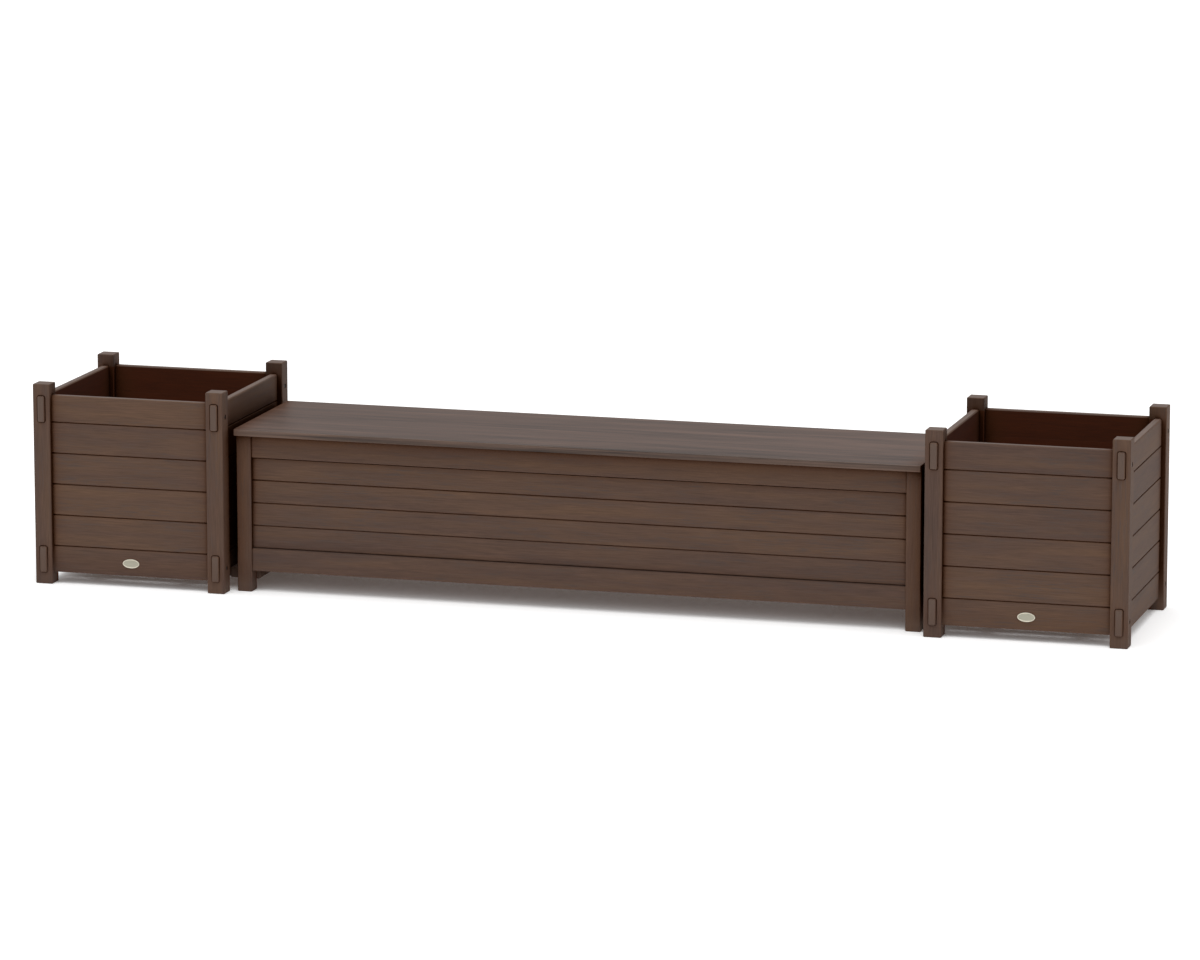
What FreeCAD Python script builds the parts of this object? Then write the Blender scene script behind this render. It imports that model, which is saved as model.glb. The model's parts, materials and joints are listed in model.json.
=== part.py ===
import FreeCAD, Part
import os

from FreeCAD import Vector

# A storage bench between two square planters, in plastic lumber. Millimetres, +Z up, front towards -Y.
# The origin is on the floor, under the middle of the bench.


# Driving dimensions

# Planters
planter_side = 554.0
planter_gap = 20.0                  # from the outer face of a bench leg to the near side of a planter
post_size = 49.0
post_height = 562.0
post_rise = 32.0                    # from the upper edge of the walls to the tops of the posts
upright_edge_cut = 2.0              # the cuts are eased edges: 45 degree bevels of posts, legs and boards

# Lumber walls, in both planters and bench
wall_thickness = 21.0
wall_bottom = 32.0
rail_height = 75.0
boards_between_rails = 4
outer_edge_cut = 2.8
seam_edge_cut = 2.2
seam_gap = 0.8
seam_depth = 5.0
tongue_thickness = 7.0
tongue_height = 6.0
tongue_side_clearance = 0.1
tongue_end_clearance = 0.4
post_housing_depth = 8.0            # how far a planter wall is let into a post

# Through tenons of the planters' side rails, and the bores for the bolts that cross them
tenon_shoulder = 1.0
tenon_corner_cut = 3.0              # the two corners that this leaves are then cut again, to a near-round end
tenon_second_cut = 1.1
tenon_projection = 6.0
tenon_end_cut = 3.0
tenon_end_second_cut = 1.2
mortise_mouth_cut = 2.0
bolt_bore_radius = 6.5
bolt_bore_depth = 4.0

# Planter floors
cleat_thickness = 22.0
cleat_height = 30.0
cleat_rise = 5.0                    # from the lower edge of the wall to the cleat
slat_thickness = 18.0
slat_count = 7
slat_gap = 8.0
batten_width = 40.0
batten_distance = 120.0             # from the middle of the floor to the middle of a batten
floor_clearance = 1.0

# Bench
seat_height = 457.0
bench_depth = 446.0
leg_distance = 966.0                # from the middle of the bench to the outer face of a leg
leg_size = 42.0
bench_wall_bottom = 58.0
bench_boards_between_rails = 4
bench_rail_recess = 6.0
bench_board_recess = 14.0
leg_housing_depth = 6.0             # how far a bench wall is let into a leg
bottom_panel_thickness = 18.0
bottom_panel_clearance = 0.5

# Lid
lid_thickness = 18.0
lid_front_overhang = 18.0
lid_end_overhang = 3.0
lid_corner_cut = 3.0
lid_top_cut = 2.0
lid_lower_cut = 1.0

# Ties between the bench and the planters
tie_projection = 9.0                # how far a tie shows inside the leg

# Lid hinges
hinge_inset = 326.0                 # from the outer face of a leg to the middle of the hinge nearest it
hinge_length = 90.0
leaf_width = 38.0
leaf_thickness = 2.0
leaf_gap = 0.4
leaf_corner_cut = 3.0
knuckle_radius = 4.5
knuckle_count = 3
knuckle_gap = 0.4
pin_radius = 2.5
pin_running_clearance = 0.06
hinge_swing_clearance = 0.5


# Places worked out from the driving dimensions

half_side = planter_side / 2
planter_distance = leg_distance + planter_gap
planter_centre = planter_distance + half_side
post_inner = half_side - post_size
wall_recess = (post_size - wall_thickness) / 2
wall_top = post_height - post_rise
board_pitch = (wall_top - wall_bottom - 2 * rail_height) / boards_between_rails
wall_inner = half_side - wall_recess - wall_thickness
wall_reach = post_inner + post_housing_depth
rail_bottoms = {"bottom_rail": wall_bottom, "top_rail": wall_top - rail_height}
cleat_top = wall_bottom + cleat_rise + cleat_height

leg_height = seat_height - lid_thickness
half_depth = bench_depth / 2
leg_inner = leg_distance - leg_size
bench_board_count = bench_boards_between_rails + 2
bench_board_pitch = (leg_height - bench_wall_bottom) / bench_board_count
bench_wall_back = bench_board_recess + wall_thickness
bench_rail_thickness = bench_wall_back - bench_rail_recess

hinge_places = (hinge_inset - leg_distance, 0, leg_distance - hinge_inset)
hinge_axis_y = half_depth + knuckle_radius + hinge_swing_clearance
hinge_axis_z = leg_height
knuckle_length = (hinge_length - (knuckle_count - 1) * knuckle_gap) / knuckle_count


# Shapes that several pieces share

def box(x_range, y_range, z_range):
    """A block from three (low, high) pairs."""
    low = Vector(x_range[0], y_range[0], z_range[0])
    high = Vector(x_range[1], y_range[1], z_range[1])
    size = high - low
    return Part.makeBox(size.x, size.y, size.z, low)


def rod(radius, x_low, x_high, y, z):
    """A round bar along X."""
    return Part.makeCylinder(radius, x_high - x_low, Vector(x_low, y, z), Vector(1, 0, 0))


def rectangle(u_range, v_range, cut):
    """The corners of a rectangle, all cut alike."""
    (u_low, u_high), (v_low, v_high) = u_range, v_range
    return [(u_low, v_low, cut), (u_high, v_low, cut), (u_high, v_high, cut), (u_low, v_high, cut)]


def bevelled(corners):
    """The (u, v) points that are left when each (u, v, cut) corner is cut off that far along both its sides."""
    points = []
    for index, (u, v, cut) in enumerate(corners):
        here = Vector(u, v, 0)
        if cut == 0:
            points.append((u, v))
            continue
        for neighbour in (corners[index - 1], corners[(index + 1) % len(corners)]):
            along = (Vector(neighbour[0], neighbour[1], 0) - here).normalize()
            turn = here + along * cut
            points.append((turn.x, turn.y))
    return points


def prism(corners, place, direction):
    """The closed outline through (u, v, cut) corners, put into space by place(u, v), drawn out straight."""
    outline = [place(u, v) for u, v in bevelled(corners)]
    return Part.Face(Part.makePolygon(outline + outline[:1])).extrude(direction)


def bar_along_x(corners, reach):
    """A (y, z) outline drawn out from -reach to +reach along X."""
    return prism(corners, lambda y, z: Vector(-reach, y, z), Vector(2 * reach, 0, 0))


def sheet(corners, z_low, z_high):
    """An (x, y) outline drawn up from z_low to z_high."""
    return prism(corners, lambda x, y: Vector(x, y, z_low), Vector(0, 0, z_high - z_low))


def edges_in_plane(solid, axis, place):
    """The edges that lie in the plane across an axis at a place along it."""
    tolerance = 1e-4
    return [e for e in solid.Edges if all(abs(getattr(v, axis) - place) < tolerance for v in e.Vertexes)]


def quarter_turn(shape):
    """The shape turned a quarter turn about Z: what ran along X at the front runs along Y on the +X side."""
    turned = shape.copy()
    turned.rotate(Vector(0, 0, 0), Vector(0, 0, 1), 90)
    return turned


def mirrored(shape, normal):
    return shape.mirror(Vector(0, 0, 0), normal)


def moved(shape, x):
    shifted = shape.copy()
    shifted.translate(Vector(x, 0, 0))
    return shifted


def upright(corner, size, height):
    """A square upright on the floor, with its lowest x and y at corner and all its edges eased."""
    low_x, low_y = corner
    section = rectangle((low_x, low_x + size), (low_y, low_y + size), upright_edge_cut)
    solid = sheet(section, 0, height)
    ends = edges_in_plane(solid, "Z", 0) + edges_in_plane(solid, "Z", height)
    return solid.makeChamfer(upright_edge_cut, ends)


def stacked_boards(front, back, levels, tongue_at=None, groove_at=None):
    """The (y, z) section of boards stacked edge to edge, with an open seam in front of every joint.

    front and back are the faces, and levels the heights of the lower edge, the seams and the upper edge.
    tongue_at and groove_at are the middle of a tongue on the upper edge and of a groove in the lower one, where
    the stack meets another piece. An edge that has neither meets none, and is eased on both faces.
    """
    low, *seams, high = levels
    half_gap = seam_gap / 2
    root = front + seam_depth
    if groove_at is None:
        corners = [(back, low, outer_edge_cut), (front, low, outer_edge_cut)]
    else:
        half = tongue_thickness / 2 + tongue_side_clearance
        end = low + tongue_height + tongue_end_clearance
        corners = [(back, low, 0), (groove_at + half, low, 0), (groove_at + half, end, 0),
                   (groove_at - half, end, 0), (groove_at - half, low, 0),
                   (root, low, 0), (root, low + half_gap, 0), (front, low + half_gap, seam_edge_cut)]
    for seam in seams:
        corners += [(front, seam - half_gap, seam_edge_cut), (root, seam - half_gap, 0),
                    (root, seam + half_gap, 0), (front, seam + half_gap, seam_edge_cut)]
    if tongue_at is None:
        corners += [(front, high, outer_edge_cut), (back, high, outer_edge_cut)]
    else:
        half = tongue_thickness / 2
        crest = high + tongue_height
        corners += [(front, high - half_gap, seam_edge_cut), (root, high - half_gap, 0), (root, high, 0),
                    (tongue_at - half, high, 0), (tongue_at - half, crest, 0),
                    (tongue_at + half, crest, 0), (tongue_at + half, high, 0), (back, high, 0)]
    return corners


# Planters, each made about its own middle

def tenon_section(rail_bottom):
    """The (across, z) section of a through tenon, measured from the middle of the post."""
    half = wall_thickness / 2
    z_range = (rail_bottom + tenon_shoulder, rail_bottom + rail_height - tenon_shoulder)
    once_cut = bevelled(rectangle((-half, half), z_range, tenon_corner_cut))
    return [(across, z, tenon_second_cut) for across, z in once_cut]


def planter_post():
    """The front post on the -X side. Both walls are let into it, and both side rails' tenons run through it."""
    low = -half_side
    high = low + post_size
    middle = low + post_size / 2
    wall_range = (low + wall_recess, low + wall_recess + wall_thickness)
    housing_range = (high - post_housing_depth, high)
    post = upright((low, low), post_size, post_height)
    post = post.cut(box(housing_range, wall_range, (wall_bottom, wall_top)))
    post = post.cut(box(wall_range, housing_range, (wall_bottom, wall_top)))
    for rail_bottom in rail_bottoms.values():
        mortise = prism(tenon_section(rail_bottom), lambda across, z: Vector(middle + across, low, z),
                        Vector(0, post_size, 0))
        bore = rod(bolt_bore_radius, low, low + bolt_bore_depth, middle, rail_bottom + rail_height / 2)
        post = post.cut(mortise).cut(bore)
    face_half = post_size / 2 - upright_edge_cut
    mouths = [e for e in edges_in_plane(post, "Y", low)
              if all(abs(v.X - middle) < face_half - mortise_mouth_cut for v in e.Vertexes)]
    return post.makeChamfer(mortise_mouth_cut, mouths)


def planter_wall_piece(name):
    """A rail or the boards of the front wall, from the housing in one post to the housing in the other."""
    front = -half_side + wall_recess
    back = front + wall_thickness
    middle = (front + back) / 2
    lower_seam = wall_bottom + rail_height
    if name == "bottom_rail":
        section = stacked_boards(front, back, [wall_bottom, lower_seam], tongue_at=middle)
    elif name == "boards":
        levels = [lower_seam + count * board_pitch for count in range(boards_between_rails + 1)]
        section = stacked_boards(front, back, levels, tongue_at=middle, groove_at=middle)
    else:
        section = stacked_boards(front, back, [wall_top - rail_height, wall_top], groove_at=middle)
    return bar_along_x(section, wall_reach)


def tenoned_rail(name):
    """A rail with a tenon at each end that runs through the post and stands proud of it, with an eased end."""
    rail = planter_wall_piece(name)
    middle = -half_side + post_size / 2
    tip = half_side + tenon_projection
    tenon = prism(tenon_section(rail_bottoms[name]), lambda across, z: Vector(wall_reach, middle + across, z),
                  Vector(tip - wall_reach, 0, 0))
    tenon = tenon.makeChamfer(tenon_end_cut, edges_in_plane(tenon, "X", tip))
    end_edges = edges_in_plane(tenon, "X", tip) + edges_in_plane(tenon, "X", tip - tenon_end_cut)
    tenon = tenon.makeChamfer(tenon_end_second_cut, end_edges)
    return rail.fuse([tenon, mirrored(tenon, Vector(1, 0, 0))]).removeSplitter()


def planter_cleat():
    """The bar on the inside of the +X wall that carries the floor."""
    z_range = (cleat_top - cleat_height, cleat_top)
    section = rectangle((-wall_inner, -wall_inner + cleat_thickness), z_range, seam_edge_cut)
    return quarter_turn(bar_along_x(section, post_inner))


def planter_floor():
    """Slats over two battens, made up as one grate and notched round the posts."""
    reach = wall_inner - floor_clearance
    slat_width = (2 * reach - (slat_count - 1) * slat_gap) / slat_count
    z_range = (cleat_top, cleat_top + slat_thickness)
    slats = []
    for index in range(slat_count):
        y_low = -reach + index * (slat_width + slat_gap)
        slats.append(box((-reach, reach), (y_low, y_low + slat_width), z_range))
    batten_reach = post_inner - floor_clearance
    battens = [
        box((x - batten_width / 2, x + batten_width / 2), (-batten_reach, batten_reach),
            (cleat_top - slat_thickness, cleat_top))
        for x in (-batten_distance, batten_distance)
    ]
    grate = slats[0].fuse(slats[1:] + battens).removeSplitter()
    notch_start = post_inner - floor_clearance
    notch = box((notch_start, half_side), (notch_start, half_side), (wall_bottom, wall_top))
    for turn in range(4):
        grate = grate.cut(notch)
        notch = quarter_turn(notch)
    return grate


def planter():
    """Every piece of one planter, by name. 'near' is the -X side here."""
    pieces = {}
    post = planter_post()
    for side, turned_post in (("near", post), ("far", mirrored(post, Vector(1, 0, 0)))):
        pieces[f"post_front_{side}"] = turned_post
        pieces[f"post_back_{side}"] = mirrored(turned_post, Vector(0, 1, 0))
    for name in ("bottom_rail", "boards", "top_rail"):
        front = planter_wall_piece(name)
        side = tenoned_rail(name) if name in rail_bottoms else front
        far = quarter_turn(side)
        pieces[f"wall_front_{name}"] = front
        pieces[f"wall_back_{name}"] = mirrored(front, Vector(0, 1, 0))
        pieces[f"wall_far_{name}"] = far
        pieces[f"wall_near_{name}"] = mirrored(far, Vector(1, 0, 0))
    cleat = planter_cleat()
    pieces["cleat_far"] = cleat
    pieces["cleat_near"] = mirrored(cleat, Vector(1, 0, 0))
    pieces["floor"] = planter_floor()
    return pieces


# Bench

def bench_leg():
    """The front leg on the -X side, with a stepped housing for the front wall and a plain one for the end."""
    low_x = -leg_distance
    low_y = -half_depth
    high_x = low_x + leg_size
    high_y = low_y + leg_size
    leg = upright((low_x, low_y), leg_size, leg_height)
    housing_x = (high_x - leg_housing_depth, high_x)
    housing_y = (high_y - leg_housing_depth, high_y)
    boards = (bench_board_recess, bench_wall_back)
    leg = leg.cut(box(housing_x, (low_y + boards[0], low_y + boards[1]), (bench_wall_bottom, leg_height)))
    leg = leg.cut(box((low_x + boards[0], low_x + boards[1]), housing_y, (bench_wall_bottom, leg_height)))
    for rail_bottom in (bench_wall_bottom, leg_height - bench_board_pitch):
        rail_range = (low_y + bench_rail_recess, low_y + bench_wall_back)
        leg = leg.cut(box(housing_x, rail_range, (rail_bottom, rail_bottom + bench_board_pitch)))
    return leg


def bench_wall_piece(name):
    """A rail or the boards of the front wall. The rails are thicker, and stand nearly flush with the legs."""
    rail_front = -half_depth + bench_rail_recess
    board_front = -half_depth + bench_board_recess
    back = -half_depth + bench_wall_back
    tongue = (board_front + back) / 2
    lower_seam = bench_wall_bottom + bench_board_pitch
    upper_seam = leg_height - bench_board_pitch
    if name == "bottom_rail":
        section = stacked_boards(rail_front, back, [bench_wall_bottom, lower_seam], tongue_at=tongue)
    elif name == "boards":
        levels = [lower_seam + count * bench_board_pitch for count in range(bench_boards_between_rails + 1)]
        section = stacked_boards(board_front, back, levels, tongue_at=tongue, groove_at=tongue)
    else:
        section = stacked_boards(rail_front, back, [upper_seam, leg_height], groove_at=tongue)
    return bar_along_x(section, leg_inner + leg_housing_depth)


def bench_end_wall():
    """The boards that close the +X end, let into both its legs."""
    face = -leg_distance + bench_board_recess
    levels = [bench_wall_bottom + count * bench_board_pitch for count in range(bench_board_count + 1)]
    section = stacked_boards(face, face + wall_thickness, levels)
    return quarter_turn(bar_along_x(section, half_depth - leg_size + leg_housing_depth))


def tie():
    """The flat board under the +X end, behind the leg, from just inside the leg to the planter's wall."""
    x_range = (leg_inner - tie_projection, planter_distance + wall_recess)
    z_range = (bench_wall_bottom - bench_rail_thickness, bench_wall_bottom)
    section = rectangle((-x_range[1], -x_range[0]), z_range, outer_edge_cut)
    return quarter_turn(bar_along_x(section, half_depth - leg_size))


def bottom_panel():
    """The sheet in the bottom of the bench, on the ties and against all four walls, notched round the legs."""
    x_reach = leg_distance - bench_wall_back
    y_reach = half_depth - bench_wall_back
    z_range = (bench_wall_bottom, bench_wall_bottom + bottom_panel_thickness)
    panel = box((-x_reach, x_reach), (-y_reach, y_reach), z_range)
    notch = box((leg_inner - bottom_panel_clearance, x_reach),
                (half_depth - leg_size - bottom_panel_clearance, y_reach), z_range)
    for flip_x in (False, True):
        for flip_y in (False, True):
            corner = mirrored(notch, Vector(1, 0, 0)) if flip_x else notch
            corner = mirrored(corner, Vector(0, 1, 0)) if flip_y else corner
            panel = panel.cut(corner)
    return panel


# Lid and hinges

def hinge_plate(z_low, z_high):
    """The plate of a hinge leaf, from its cut front corners to the hinge's axis."""
    half = hinge_length / 2
    front = hinge_axis_y - leaf_width
    corners = [(-half, front, leaf_corner_cut), (half, front, leaf_corner_cut),
               (half, hinge_axis_y, 0), (-half, hinge_axis_y, 0)]
    return sheet(corners, z_low, z_high)


lower_leaf_range = (hinge_axis_z - leaf_gap / 2 - leaf_thickness, hinge_axis_z - leaf_gap / 2)
upper_leaf_range = (hinge_axis_z + leaf_gap / 2, hinge_axis_z + leaf_gap / 2 + leaf_thickness)


def hinge_leaf(z_range, first_knuckle, holds_pin):
    """A leaf with every other knuckle from the first one. One leaf holds the pin, and the other turns on it."""
    leaf = hinge_plate(*z_range)
    half = hinge_length / 2
    cut_radius = knuckle_radius + hinge_swing_clearance
    own_knuckles = []
    for index in range(knuckle_count):
        start = -half + index * (knuckle_length + knuckle_gap)
        if index % 2 == first_knuckle:
            own_knuckles.append(rod(knuckle_radius, start, start + knuckle_length, hinge_axis_y, hinge_axis_z))
        else:
            x_range = (start - knuckle_gap, start + knuckle_length + knuckle_gap)
            leaf = leaf.cut(box(x_range, (hinge_axis_y - cut_radius, hinge_axis_y + cut_radius), z_range))
    leaf = leaf.fuse(own_knuckles)
    if holds_pin:
        return leaf.fuse(rod(pin_radius, -half, half, hinge_axis_y, hinge_axis_z)).removeSplitter()
    bore = rod(pin_radius + pin_running_clearance, -half, half, hinge_axis_y, hinge_axis_z)
    return leaf.cut(bore).removeSplitter()


def back_top_rail():
    """The bench's back top rail, with a recess for each hinge's lower leaf."""
    rail = mirrored(bench_wall_piece("top_rail"), Vector(0, 1, 0))
    recess = hinge_plate(lower_leaf_range[0], leg_height)
    for x in hinge_places:
        rail = rail.cut(moved(recess, x))
    return rail


def lid():
    """The one-piece lid, flush with the back legs and past the bench at the front and ends."""
    reach = leg_distance + lid_end_overhang
    plan = rectangle((-reach, reach), (-half_depth - lid_front_overhang, half_depth), lid_corner_cut)
    solid = sheet(plan, leg_height, seat_height)
    solid = solid.makeChamfer(lid_top_cut, edges_in_plane(solid, "Z", seat_height))
    solid = solid.makeChamfer(lid_lower_cut, edges_in_plane(solid, "Z", leg_height))
    recess = hinge_plate(leg_height, upper_leaf_range[1])
    for x in hinge_places:
        solid = solid.cut(moved(recess, x))
    return solid


def bench():
    """Every piece of the bench, by name."""
    pieces = {}
    leg = bench_leg()
    for side, turned_leg in (("left", leg), ("right", mirrored(leg, Vector(1, 0, 0)))):
        pieces[f"leg_front_{side}"] = turned_leg
        pieces[f"leg_back_{side}"] = mirrored(turned_leg, Vector(0, 1, 0))
    for name in ("bottom_rail", "boards", "top_rail"):
        front = bench_wall_piece(name)
        pieces[f"wall_front_{name}"] = front
        pieces[f"wall_back_{name}"] = mirrored(front, Vector(0, 1, 0))
    pieces["wall_back_top_rail"] = back_top_rail()
    for name, right in (("end_wall", bench_end_wall()), ("tie", tie())):
        pieces[f"{name}_right"] = right
        pieces[f"{name}_left"] = mirrored(right, Vector(1, 0, 0))
    pieces["bottom_panel"] = bottom_panel()
    pieces["lid"] = lid()
    return pieces


# All the pieces, one file each

def save(name, shape):
    if not shape.isValid() or len(shape.Solids) != 1:
        raise ValueError(f"{name} isn't one valid solid")
    shape.exportStep(f"parts/{name}.step")


os.makedirs("parts", exist_ok=True)
names = []

for side, mirror_it in (("right", False), ("left", True)):
    for name, piece in planter().items():
        placed = moved(piece, planter_centre)
        placed = mirrored(placed, Vector(1, 0, 0)) if mirror_it else placed
        names.append(f"planter_{side}_{name}")
        save(names[-1], placed)

for name, piece in bench().items():
    names.append(f"bench_{name}")
    save(names[-1], piece)

fixed_leaf = hinge_leaf(lower_leaf_range, 0, holds_pin=True)
lid_leaf = hinge_leaf(upper_leaf_range, 1, holds_pin=False)
for number, x in enumerate(hinge_places, start=1):
    for name, leaf in (("fixed_leaf", fixed_leaf), ("lid_leaf", lid_leaf)):
        names.append(f"hinge_{number}_{name}")
        save(names[-1], moved(leaf, x))

print(len(names), "pieces")
print("board pitch", board_pitch, "and", bench_board_pitch)
print("planter wall top", wall_top, "floor top", cleat_top + slat_thickness, "seat", seat_height)
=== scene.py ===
import json
import math
from collections import namedtuple
from itertools import product

import bmesh
import bpy
from mathutils import Matrix, Vector


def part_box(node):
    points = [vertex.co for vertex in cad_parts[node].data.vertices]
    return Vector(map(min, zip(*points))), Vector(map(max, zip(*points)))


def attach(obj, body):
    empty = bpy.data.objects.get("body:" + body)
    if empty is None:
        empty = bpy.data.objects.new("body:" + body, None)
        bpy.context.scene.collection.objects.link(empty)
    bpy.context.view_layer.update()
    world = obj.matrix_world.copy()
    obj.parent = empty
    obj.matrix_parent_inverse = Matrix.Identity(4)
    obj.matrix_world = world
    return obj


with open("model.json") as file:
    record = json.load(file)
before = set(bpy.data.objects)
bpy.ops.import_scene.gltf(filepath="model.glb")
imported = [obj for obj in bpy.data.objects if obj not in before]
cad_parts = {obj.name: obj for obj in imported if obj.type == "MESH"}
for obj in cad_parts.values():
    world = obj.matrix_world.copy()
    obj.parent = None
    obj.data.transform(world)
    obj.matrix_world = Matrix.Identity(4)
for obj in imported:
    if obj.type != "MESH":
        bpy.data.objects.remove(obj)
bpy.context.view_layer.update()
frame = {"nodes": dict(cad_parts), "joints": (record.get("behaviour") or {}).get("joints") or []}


# Planter posts
# Eight square posts of solid brown plastic lumber, extruded with a brushed grain along them, sawn to length
# and eased on every edge. The walls are let into them, and the side rails' tenons come right through.

class Varying:
    """A number, vector or colour that varies over a surface. Sums on numbers add their Math nodes."""

    def __init__(self, finish, socket):
        self.finish = finish
        self.socket = socket

    def output(self, name):
        """Another output of the node that this one comes from."""
        return Varying(self.finish, self.socket.node.outputs[name])

    def split(self):
        """This vector's X, Y and Z, each an output by that name."""
        return self.finish.node("ShaderNodeSeparateXYZ", {}, {"Vector": self})

    def _sum(self, operation, *terms):
        return self.finish.node("ShaderNodeMath", {"operation": operation}, dict(enumerate(terms)))

    def __add__(self, other):
        return self._sum("ADD", self, other)

    def __sub__(self, other):
        return self._sum("SUBTRACT", self, other)

    def __rsub__(self, other):
        return self._sum("SUBTRACT", other, self)

    def __mul__(self, other):
        return self._sum("MULTIPLY", self, other)

    def __truediv__(self, other):
        return self._sum("DIVIDE", self, other)

    def __rtruediv__(self, other):
        return self._sum("DIVIDE", other, self)

    def __lt__(self, other):
        return self._sum("LESS_THAN", self, other)

    def __gt__(self, other):
        return self._sum("GREATER_THAN", self, other)

    def __abs__(self):
        return self._sum("ABSOLUTE", self)

    def __floor__(self):
        return self._sum("FLOOR", self)

    __radd__ = __add__
    __rmul__ = __mul__


class Finish:
    """A material in the making, round one Principled shader."""

    def __init__(self, name, **fixed):
        self.material = bpy.data.materials.new(name)
        self.material.use_nodes = True
        self.shader = self.material.node_tree.nodes["Principled BSDF"]
        for socket, value in fixed.items():
            self.shader.inputs[socket.replace("_", " ")].default_value = value

    def _feed(self, socket, value):
        if isinstance(value, Varying):
            self.material.node_tree.links.new(value.socket, socket)
        else:
            socket.default_value = (*value, 1) if socket.type == "RGBA" else value

    def node(self, kind, settings, inputs):
        """A new node's first output. The settings come first, then the values or links of its inputs."""
        made = self.material.node_tree.nodes.new(kind)
        for name, value in settings.items():
            setattr(made, name, value)
        for name, value in inputs.items():
            self._feed(made.inputs[name], value)
        return Varying(self, made.outputs[0])

    def place(self):
        """Where a point of the surface is, in metres. The same node's Normal output is the way it faces."""
        return self.node("ShaderNodeTexCoord", {}, {}).output("Object")

    def mix(self, first, second, share):
        """A colour between two colours, all of the second where share is 1."""
        return self.node("ShaderNodeMix", {"data_type": "RGBA"}, {0: share, 6: first, 7: second}).output(2)

    def scaled(self, colour, factor):
        """A colour or vector times a number."""
        return self.node("ShaderNodeVectorMath", {"operation": "SCALE"}, {0: colour, "Scale": factor})

    def noise(self, place, **inputs):
        """Cloudy noise between 0 and 1. Without a Scale, it changes about once in each unit of the place."""
        return self.node("ShaderNodeTexNoise", {}, {"Vector": place, "Scale": 1, **inputs})

    def climb(self, value, foot, top):
        """0 where the value is at the foot or beyond it, 1 at the top, and even between them."""
        return self.node("ShaderNodeMapRange", {}, {"Value": value, "From Min": foot, "From Max": top})

    def openness(self, distance, samples):
        """1 on an open face, and less where other faces stand within a distance of it."""
        around = self.node("ShaderNodeAmbientOcclusion", {"samples": samples}, {"Distance": distance})
        return around.output("AO")

    def bumps(self, height, strength, distance, **inputs):
        """The way a surface faces with bumps on it. A height of 1 stands out by the distance."""
        return self.node("ShaderNodeBump", {},
                         {"Height": height, "Strength": strength, "Distance": distance, **inputs})

    def cover_with_painted_shade(self, colour, share):
        """Covers the finish with a matte painted shade, which hides it where the share is 1."""
        painted_shade = self.node("ShaderNodeBsdfPrincipled", {},
                         {"Base Color": colour, "Roughness": 1, "Specular IOR Level": 0})
        finish = Varying(self, self.shader.outputs[0])
        shaded_over = self.node("ShaderNodeMixShader", {}, {0: share, 1: finish, 2: painted_shade})
        self._feed(self.material.node_tree.nodes["Material Output"].inputs["Surface"], shaded_over)

    def made_with(self, **varying):
        """Feeds the shader's inputs and returns the finished material."""
        for socket, value in varying.items():
            self._feed(self.shader.inputs[socket.replace("_", " ")], value)
        return self.material


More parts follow.
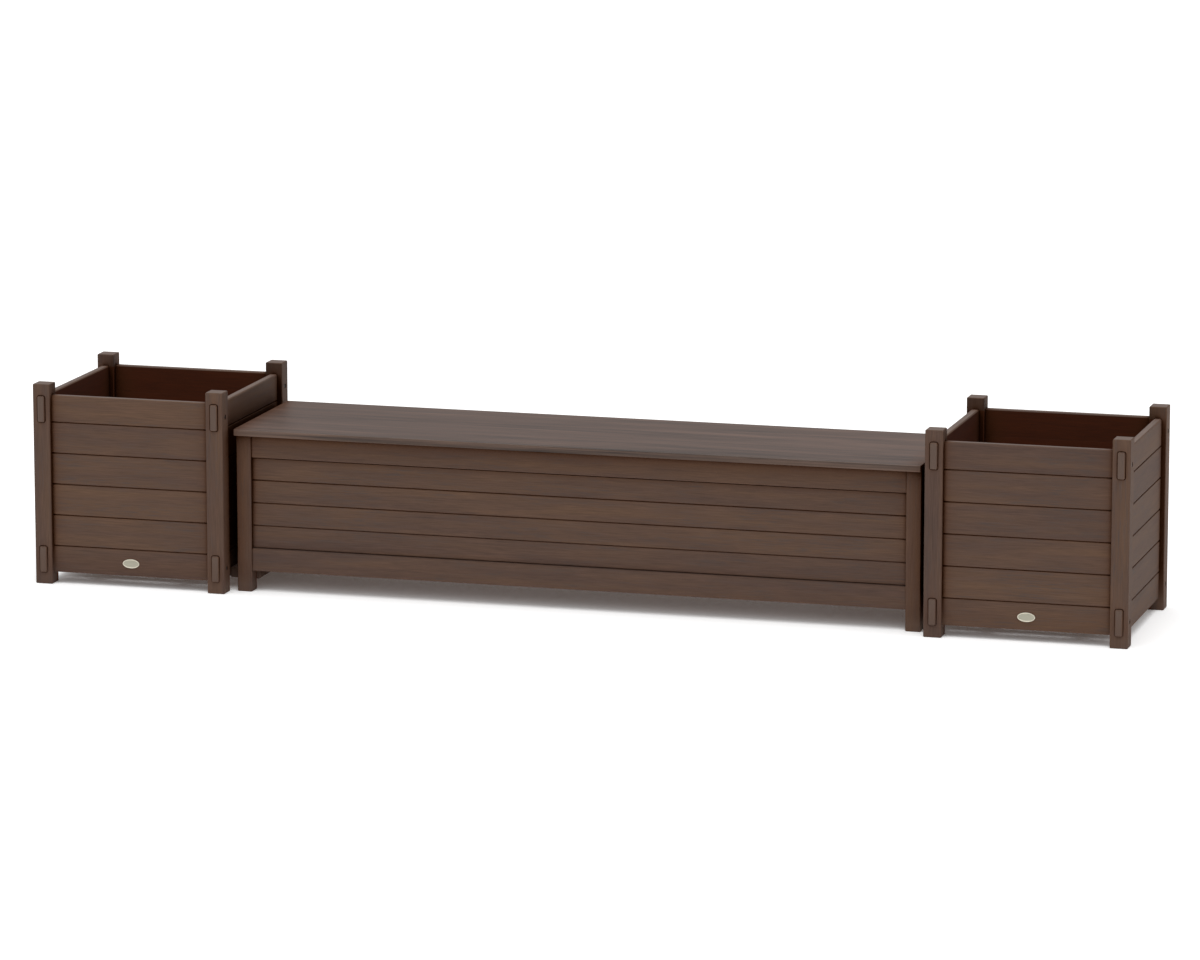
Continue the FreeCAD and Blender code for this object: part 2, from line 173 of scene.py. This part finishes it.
def lumber(name, grain, inside=None, boards_along="Z", first_board=0.0, board_pitch=1.0,
           warm=(0.112, 0.0608, 0.036), cool=(0.0975, 0.0555, 0.0405), painted_top_light=(0.158, 0.115, 0.097),
           roughness=0.8, coarseness=1.0, contrast=1.0, shade_fades_below=0.12):
    """Brown plastic lumber with its grain along X, Y or Z, painted light on top, painted shade inside, rough
    where sawn.
    Each board of a stack, told apart by its place along an axis, has a tone and a grain of its own.
    Painted shade darkens the crevices and corners, and fades out from a height down to the floor."""
    # The second of these colours is a painted deep shade, for faces inside a box.
    worn, painted_inner_shade, sawn = (0.066, 0.0465, 0.04), (0.095, 0.019, 0.0025), (0.115, 0.075, 0.057)
    # Both are painted shade: a warm brown that darkens corners, and a near-black, matte one for crevices.
    painted_corner_shade, painted_shade = (0.095, 0.028, 0.003), (0.019, 0.0046, 0.0006)

    finish = Finish(name, IOR=1.4)
    place = finish.place()
    at = place.split()
    facing = place.output("Normal").split()
    squarely = 0.77
    on_top = facing.output("Z") > squarely
    on_end = abs(facing.output(grain)) > squarely

    board = math.floor((at.output(boards_along) - first_board) / board_pitch)
    piece = finish.node("ShaderNodeObjectInfo", {}, {}).output("Random")
    pieces_apart, noise_apart = 917, 50
    own = finish.node("ShaderNodeTexWhiteNoise", {"noise_dimensions": "1D"},
                      {"W": piece * pieces_apart + board})
    own_tone = own.output("Value") - 0.5
    own_part_of_noise = finish.scaled(own.output("Color"), noise_apart)

    def grained(along, across, **inputs):
        """Noise round 0 with so many changes in a metre along and across the grain."""
        changes = [(along if axis == grain else across) / coarseness for axis in "XYZ"]
        stretched = finish.node("ShaderNodeVectorMath", {"operation": "MULTIPLY_ADD"},
                                {0: place, 1: changes, 2: own_part_of_noise})
        return finish.noise(stretched, **inputs) - 0.5

    scratches = grained(14, 900, Detail=3, Roughness=0.6)
    streaks = grained(16, 230, Detail=4, Roughness=0.65)
    bands = grained(2.5, 40, Detail=2, Roughness=0.5, Distortion=0.2)
    patches = grained(5, 18, Detail=2, Roughness=0.5)

    wear = finish.climb(streaks, -0.02, 0.14) * finish.climb(patches, -0.08, 0.1) * 0.8
    brown = finish.mix(finish.mix(cool, warm, bands * 2 + own_tone * 0.6 + 0.5), worn, wear)
    # Faces inside a box are painted a deep, saturated brown, which stands in for the shade there.
    in_shade = 0
    if inside:
        from_middle, from_long_axis = abs(at.output("X")), abs(at.output("Y"))
        in_shade = ((from_middle > inside.start) * (from_middle < inside.end)
                    * (from_long_axis < inside.reach) * (at.output("Z") < inside.rim))
    tone = 1 + (scratches * 0.9 + streaks * 0.75 + bands * 0.35) * contrast + own_tone * 0.1
    # Top faces take a colour of their own, painted for the light and sheen they catch from above.
    long_faces = finish.scaled(finish.mix(finish.mix(brown, painted_top_light, on_top), painted_inner_shade, in_shade), tone)
    saw_marks = finish.noise(place, Scale=420, Detail=4, Roughness=0.7) - 0.5
    sawn_ends = finish.scaled(finish.mix(sawn, painted_top_light, on_top), 1 + saw_marks * 0.3)
    face_colour = finish.mix(long_faces, sawn_ends, on_end)

    # Where other faces stand near, corners and crevices are darkened by painted shade, which fades out near
    # the floor.
    openness = finish.openness(0.1, samples=8)
    above_floor = finish.climb(at.output("Z"), 0.02, shade_fades_below)
    corner_shade = finish.climb(openness, 0.98, 0.5) * above_floor
    crevices = finish.climb(openness, 0.78, 0.48) * above_floor
    finish.cover_with_painted_shade(painted_shade, crevices)

    rounded = finish.node("ShaderNodeBevel", {"samples": 4}, {"Radius": 0.0012})
    return finish.made_with(
        Base_Color=finish.mix(face_colour, painted_corner_shade, corner_shade),
        Roughness=roughness + scratches * 0.2 + streaks * 0.1,
        Normal=finish.bumps(scratches * 0.5 + streaks * 0.5, strength=0.35, distance=0.0006, Normal=rounded))


def finish_nodes(material, names):
    """Gives the CAD nodes with these names their finish."""
    for name in names:
        frame["nodes"][name].material_slots[0].material = material


# The space inside a box starts and ends so far from the middle of the bench along X, reaches so far to the
# front and the back, and lies below a rim. A margin makes the walls' inner faces part of it.
# The lumber's faces in that space are painted in a deep shade.
Inside = namedtuple("Inside", "start end reach rim")
margin = 0.0005
eased_edge = 0.003
planter_inside = Inside(start=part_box("planter_right_wall_near_boards")[1].x - margin,
                        end=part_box("planter_right_wall_far_boards")[0].x + margin,
                        reach=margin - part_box("planter_right_wall_front_boards")[1].y,
                        rim=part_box("planter_right_wall_front_top_rail")[1].z - eased_edge)

sides, rows, ends = ("left", "right"), ("front", "back"), ("near", "far")
finish_nodes(lumber("post_lumber", "Z", planter_inside),
             [f"planter_{side}_post_{row}_{end}" for side, row, end in product(sides, rows, ends)])


# Planter walls
# Tongued and grooved plastic lumber, a rail above and below four wider boards. The front and back walls stop
# in the posts, and the rails of the side walls run through them as tenons, whose eased ends stand proud.

layers = ("bottom_rail", "boards", "top_rail")
planter_boards = dict(first_board=0.107, board_pitch=0.087)
planter_long_boards = lumber("planter_boards_lengthwise", "X", planter_inside, **planter_boards)
planter_cross_boards = lumber("planter_boards_crosswise", "Y", planter_inside, **planter_boards)
for side, layer in product(sides, layers):
    finish_nodes(planter_long_boards, [f"planter_{side}_wall_{row}_{layer}" for row in rows])
    finish_nodes(planter_cross_boards, [f"planter_{side}_wall_{end}_{layer}" for end in ends])


# Planter floors
# A grate of seven slats on two battens, which lies on a cleat along each side wall. It is cut from the same
# lumber, and the gaps between the slats let the water out.

slats = lumber("floor_slats", "X", planter_inside, boards_along="Y", first_board=-0.241, board_pitch=0.07)
finish_nodes(slats, [f"planter_{side}_floor" for side in sides])
finish_nodes(planter_cross_boards, [f"planter_{side}_cleat_{end}" for side, end in product(sides, ends)])


# Bolts
# Sixteen black-coated steel bolts with domed heads and a hexagon socket. Each crosses a tenon from the outer
# side of its post, and its head lies in a counterbore.

def turned(name, rings, material, steps=48):
    """A piece built up round its own Z axis from rings, each a height and a reach, which may go by angle."""
    shape = bmesh.new()
    loops = []
    for height, reach in rings:
        angles = [2 * math.pi * step / steps for step in range(steps)]
        reaches = [reach(angle) if callable(reach) else reach for angle in angles]
        loops.append([shape.verts.new((r * math.cos(angle), r * math.sin(angle), height))
                      for angle, r in zip(angles, reaches)])
    for lower, upper in zip(loops, loops[1:]):
        for step in range(steps):
            ahead = (step + 1) % steps
            shape.faces.new((lower[step], lower[ahead], upper[ahead], upper[step]))
    shape.faces.new(loops[0][::-1])
    shape.faces.new(loops[-1])
    mesh = bpy.data.meshes.new(name)
    shape.to_mesh(mesh)
    shape.free()
    mesh.shade_smooth()
    mesh.set_sharp_from_angle(angle=math.radians(35))
    mesh.materials.append(material)
    return mesh


def fixed(name, mesh, place, outward, body):
    """A small piece on a face, with its own Z axis pointing outward, that moves with a body."""
    piece = bpy.data.objects.new(name, mesh)
    bpy.context.scene.collection.objects.link(piece)
    turn = Vector((0, 0, 1)).rotation_difference(Vector(outward)).to_matrix().to_4x4()
    piece.matrix_world = Matrix.Translation(place) @ turn
    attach(piece, body)
    return piece


def hexagon(reach):
    """The reach of a hexagon's sides by angle, where reach is half its width across flats."""
    sixth = math.pi / 3
    return lambda angle: reach / math.cos(angle % sixth - sixth / 2)


coating = Finish("bolt_coating", Metallic=0.6)
grit = coating.noise(coating.place(), Scale=1800, Detail=3)
bolt_coating = coating.made_with(
    Base_Color=coating.scaled((0.028, 0.026, 0.026), 0.7 + grit * 0.6),
    Roughness=0.34 + grit * 0.2,
    Normal=coating.bumps(grit, strength=0.2, distance=0.0002))

head_reach, head_height = 0.0058, 0.0031
socket_reach, socket_floor = 0.002, 0.0012
dome = [(0, head_reach), (0.0011, head_reach), (0.0016, head_reach * 0.985), (0.0023, head_reach * 0.88),
        (0.0028, head_reach * 0.72), (head_height, head_reach * 0.52)]
socket = [(head_height, hexagon(socket_reach * 1.06)), (head_height - 0.0002, hexagon(socket_reach)),
          (socket_floor, hexagon(socket_reach)), (socket_floor - 0.0002, 0.0004)]
bolt_head = turned("bolt_head", dome + socket, bolt_coating)

counterbore_depth = 0.004
rail_width = 0.075
bolt_heights = {"bottom_rail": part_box("planter_left_wall_near_bottom_rail")[0].z + rail_width / 2,
                "top_rail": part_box("planter_left_wall_near_top_rail")[1].z - rail_width / 2}
for side, row, end in product(sides, rows, ends):
    low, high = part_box(f"planter_{side}_post_{row}_{end}")
    outward = 1 if (side == "right") == (end == "far") else -1
    bore_floor = (high.x if outward > 0 else low.x) - outward * counterbore_depth
    for layer, height in bolt_heights.items():
        fixed(f"bolt_{side}_{row}_{end}_{layer}", bolt_head, (bore_floor, (low.y + high.y) / 2, height),
              (outward, 0, 0), "bench_and_planters")


# Badge plates
# An oval cast plate on the front of each planter's bottom rail, in a pale warm metal with a raised rim. The
# field inside the rim is left bare, with one fine line round it.

def oval(half_width, half_height):
    """The reach of an oval by angle."""
    return lambda angle: half_width * half_height / math.hypot(half_height * math.cos(angle),
                                                               half_width * math.sin(angle))


cast = Finish("badge_metal", Metallic=0.35, IOR=1.5)
on_badge = cast.place()
raised = cast.climb(on_badge.split().output("Z"), 0.0013, 0.0017)
speckle = cast.noise(on_badge, Scale=900, Detail=5, Roughness=0.7)
badge_metal = cast.made_with(
    Base_Color=cast.scaled(cast.mix((0.45, 0.43, 0.34), (0.76, 0.71, 0.58), raised), 0.85 + speckle * 0.3),
    Roughness=0.36 + speckle * 0.2,
    Normal=cast.bumps(speckle, strength=0.25, distance=0.0003))

badge_half_width, badge_half_height, badge_above_ground = 0.0242, 0.0126, 0.0675
rim_width = 0.003
field, line, crest = 0.0012, 0.0014, 0.002
heights_and_insets = [
    (0, 0), (0.0013, 0), (0.0018, 0.0004), (crest, 0.001), (crest, rim_width - 0.001), (field, rim_width),
    (field, rim_width + 0.001), (field, rim_width + 0.0014), (line, rim_width + 0.0016),
    (line, rim_width + 0.002), (field, rim_width + 0.0022), (0.00125, rim_width + 0.006),
    (0.0013, rim_width + 0.0095)]
badge = turned("badge", [(height, oval(badge_half_width - inset, badge_half_height - inset))
                         for height, inset in heights_and_insets], badge_metal, steps=96)
for side in sides:
    low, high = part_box(f"planter_{side}_wall_front_bottom_rail")
    middle = (low.x + high.x) / 2
    fixed(f"badge_{side}", badge, (middle, low.y, badge_above_ground), (0, -1, 0), "bench_and_planters")


# Bench legs and walls
# The same lumber, narrower than on the planters. The front and back have a thicker rail above and below four
# boards, the ends are six boards, and all are let into four square legs.

bench_inside = Inside(start=-margin,
                      end=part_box("bench_end_wall_right")[0].x + margin,
                      reach=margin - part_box("bench_wall_front_boards")[1].y,
                      rim=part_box("bench_lid")[0].z + margin)
bench_boards = dict(first_board=0.058, board_pitch=0.0635)
# On the long walls, the painted shade in crevices and corners fades out below 0.3 m.
bench_long_boards = lumber("bench_boards_lengthwise", "X", bench_inside, shade_fades_below=0.3, **bench_boards)
bench_cross_boards = lumber("bench_boards_crosswise", "Y", bench_inside, **bench_boards)
finish_nodes(lumber("leg_lumber", "Z", bench_inside),
             [f"bench_leg_{row}_{side}" for row, side in product(rows, sides)])
finish_nodes(bench_long_boards, [f"bench_wall_{row}_{layer}" for row, layer in product(rows, layers)])
finish_nodes(bench_cross_boards, [f"bench_end_wall_{side}" for side in sides])


# Ties
# A flat board of the same lumber under each end of the bench, behind the legs. The end wall stands on it, and
# it reaches across the gap to the planter's wall, which joins the two.

finish_nodes(lumber("tie_lumber", "Y"), [f"bench_tie_{side}" for side in sides])


# Bottom panel and lid
# Plastic sheet in the same brown, with a faint grain along its length. The panel lies on the ties, between
# the walls, and the lid is one sheet with eased edges, hinged along the back.

# Its top faces take their own painted colour, greyer than its edges, for the sheen they catch from above.
sheet = lumber("plastic_sheet", "X", bench_inside,
               warm=(0.11, 0.064, 0.042), cool=(0.1, 0.06, 0.043), painted_top_light=(0.097, 0.06, 0.046),
               roughness=0.45, coarseness=7, contrast=2.6)
finish_nodes(sheet, ["bench_bottom_panel", "bench_lid"])


# Hinges
# Three butt hinges in brushed stainless steel, let into the lid and the back rail, so that the lid shuts
# flat. Each leaf is held by three countersunk screws with a cross recess.

def cross(arm, width):
    """The reach of a cross's outline by angle."""
    def reach(angle):
        quarter = angle % (math.pi / 2)
        from_arm = min(quarter, math.pi / 2 - quarter)
        return min(arm, width / max(math.sin(from_arm), 1e-6))
    return reach


brushed = Finish("hinge_steel", Metallic=1.0)
stretched_along_x = brushed.node("ShaderNodeVectorMath", {"operation": "MULTIPLY"},
                                 {0: brushed.place(), 1: (60, 2600, 2600)})
brush_lines = brushed.noise(stretched_along_x, Detail=3, Roughness=0.6)
hinge_steel = brushed.made_with(
    Base_Color=brushed.scaled((0.58, 0.57, 0.55), 0.85 + brush_lines * 0.3),
    Roughness=0.26 + brush_lines * 0.24,
    Normal=brushed.bumps(brush_lines, strength=0.25, distance=0.0001))

screw_reach, screw_height, screw_spacing = 0.0034, 0.0003, 0.032
screw_head = turned("screw_head", [
    (-0.0005, screw_reach), (screw_height * 0.6, screw_reach), (screw_height, screw_reach * 0.93),
    (screw_height, cross(0.0018, 0.0004)), (0.00005, cross(0.0014, 0.00025)), (0.00003, 0.0001)],
    hinge_steel, steps=64)

_, axis_y, axis_z = frame["joints"][0]["pos_m"]
leaf_from_axis = 0.0002
leaves = (("fixed_leaf", "bench_and_planters", 1, 0.021), ("lid_leaf", "lid", -1, 0.029))
for number, (leaf, body, upward, screws_from_axis) in product((1, 2, 3), leaves):
    name = f"hinge_{number}_{leaf}"
    finish_nodes(hinge_steel, [name])
    low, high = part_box(name)
    middle = (low.x + high.x) / 2
    for letter, along in zip("abc", (-screw_spacing, 0, screw_spacing)):
        place = (middle + along, axis_y - screws_from_axis, axis_z - upward * leaf_from_axis)
        screw = fixed(f"{name}_screw_{letter}", screw_head, place, (0, 0, upward), body)


# The studio
# A pale glowing floor whose glow dims to a painted warm shadow near things, one broad light from overhead
# that leans to the front, a faint one from behind, and a long lens that looks down a little from well back.

floor_reach = 60
corners = [(-floor_reach, -floor_reach, 0), (floor_reach, -floor_reach, 0),
           (floor_reach, floor_reach, 0), (-floor_reach, floor_reach, 0)]
ground = bpy.data.meshes.new("floor")
ground.from_pydata(corners, [], [(0, 1, 2, 3)])
floor = bpy.data.objects.new("floor", ground)
bpy.context.scene.collection.objects.link(floor)
paint = Finish("floor_paint", Roughness=0.9, Specular_IOR_Level=0.1, Emission_Strength=0.35)
# The floor glows, and where other things stand near, its glow dims to a warm painted shadow.
glow_with_painted_shadow = paint.mix((0.12, 0.08, 0.06), (1, 1, 1), paint.climb(paint.openness(0.3, samples=6), 0, 0.3))
ground.materials.append(paint.made_with(Base_Color=(0.9, 0.9, 0.9), Emission_Color=glow_with_painted_shadow))

world = bpy.data.worlds.new("studio")
world.use_nodes = True
world.node_tree.nodes["Background"].inputs["Color"].default_value = (1, 1, 1, 1)
world.node_tree.nodes["Background"].inputs["Strength"].default_value = 0.2
bpy.context.scene.world = world
bpy.context.scene.view_settings.view_transform = "Standard"


def soft_light(name, direction, spread, strength):
    """A broad, even light that comes from a direction, and is spread over so many degrees."""
    lamp = bpy.data.lights.new(name, "SUN")
    lamp.angle = math.radians(spread)
    lamp.energy = strength
    light = bpy.data.objects.new(name, lamp)
    bpy.context.scene.collection.objects.link(light)
    light.rotation_euler = Vector(direction).to_track_quat("Z", "Y").to_euler()


soft_light("overhead", (0, -0.15, 1), 60, 2.7)
soft_light("behind", (0, 8, 3), 60, 0.18)

lens = bpy.data.cameras.new("camera")
lens.sensor_width = 36
lens.lens = 181.377
lens.shift_x = -0.00168
lens.shift_y = -0.00415
lens.clip_end = 200
camera = bpy.data.objects.new("camera", lens)
bpy.context.scene.collection.objects.link(camera)
degrees_down, degrees_round = 10.931, 15.978
camera.location = (4.4975, -15.649, 3.4806)
camera.rotation_euler = (math.radians(90 - degrees_down), 0, math.radians(degrees_round))
bpy.context.scene.camera = camera
